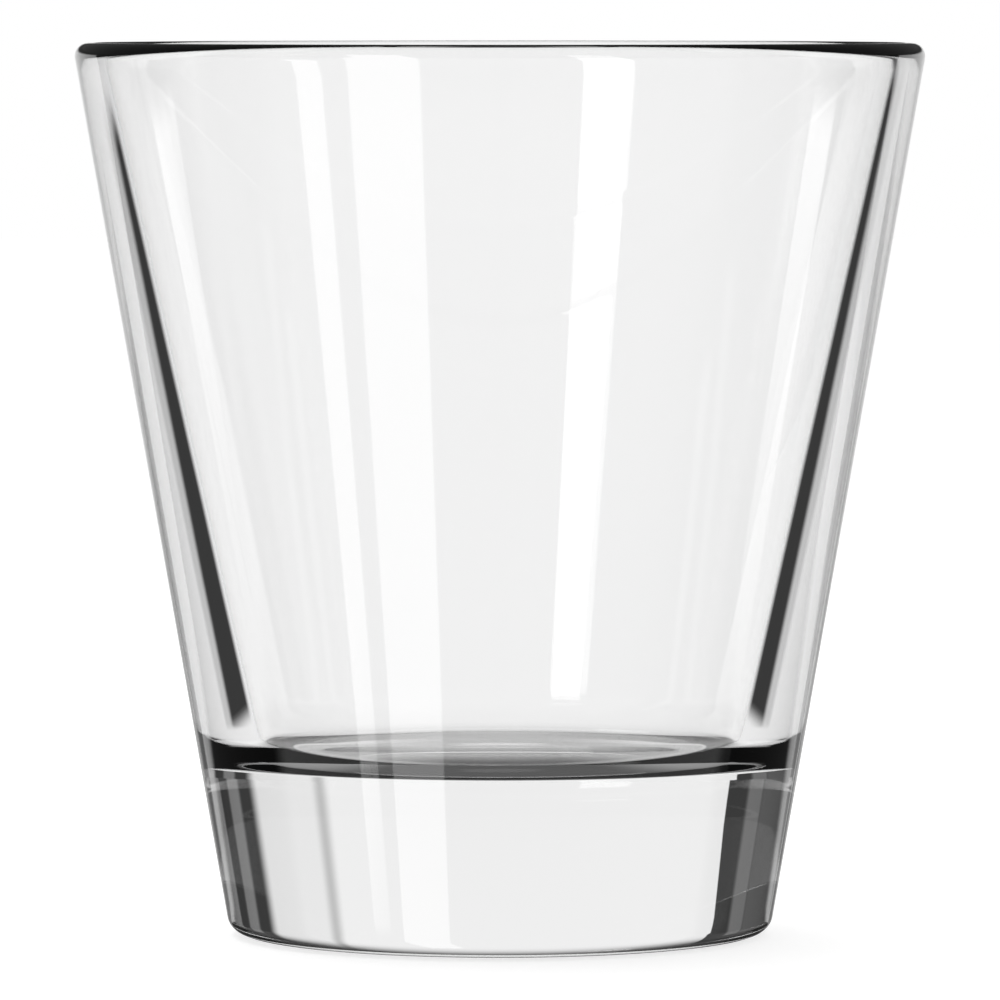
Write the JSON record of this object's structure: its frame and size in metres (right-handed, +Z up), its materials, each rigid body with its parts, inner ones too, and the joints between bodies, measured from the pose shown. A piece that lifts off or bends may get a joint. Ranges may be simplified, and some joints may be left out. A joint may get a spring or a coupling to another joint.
{
  "type": "double old fashioned glass",
  "caption": "Clear tapered drinking tumbler with a thick solid base and a rounded rim, for a short drink poured over ice.",
  "frame": {"origin": "middle of the plane that the foot stands on, on the glass's axis", "axes": "+Z up along the axis, from the foot to the rim; the glass is round, so X and Y are free"},
  "size_m": [0.0982, 0.0982, 0.103],
  "materials": {
    "clear_glass": "clear pressed soda-lime glass, fire polished"
  },
  "bodies": {
    "root": {"tumbler": "clear_glass"}
  },
  "joints": []
}
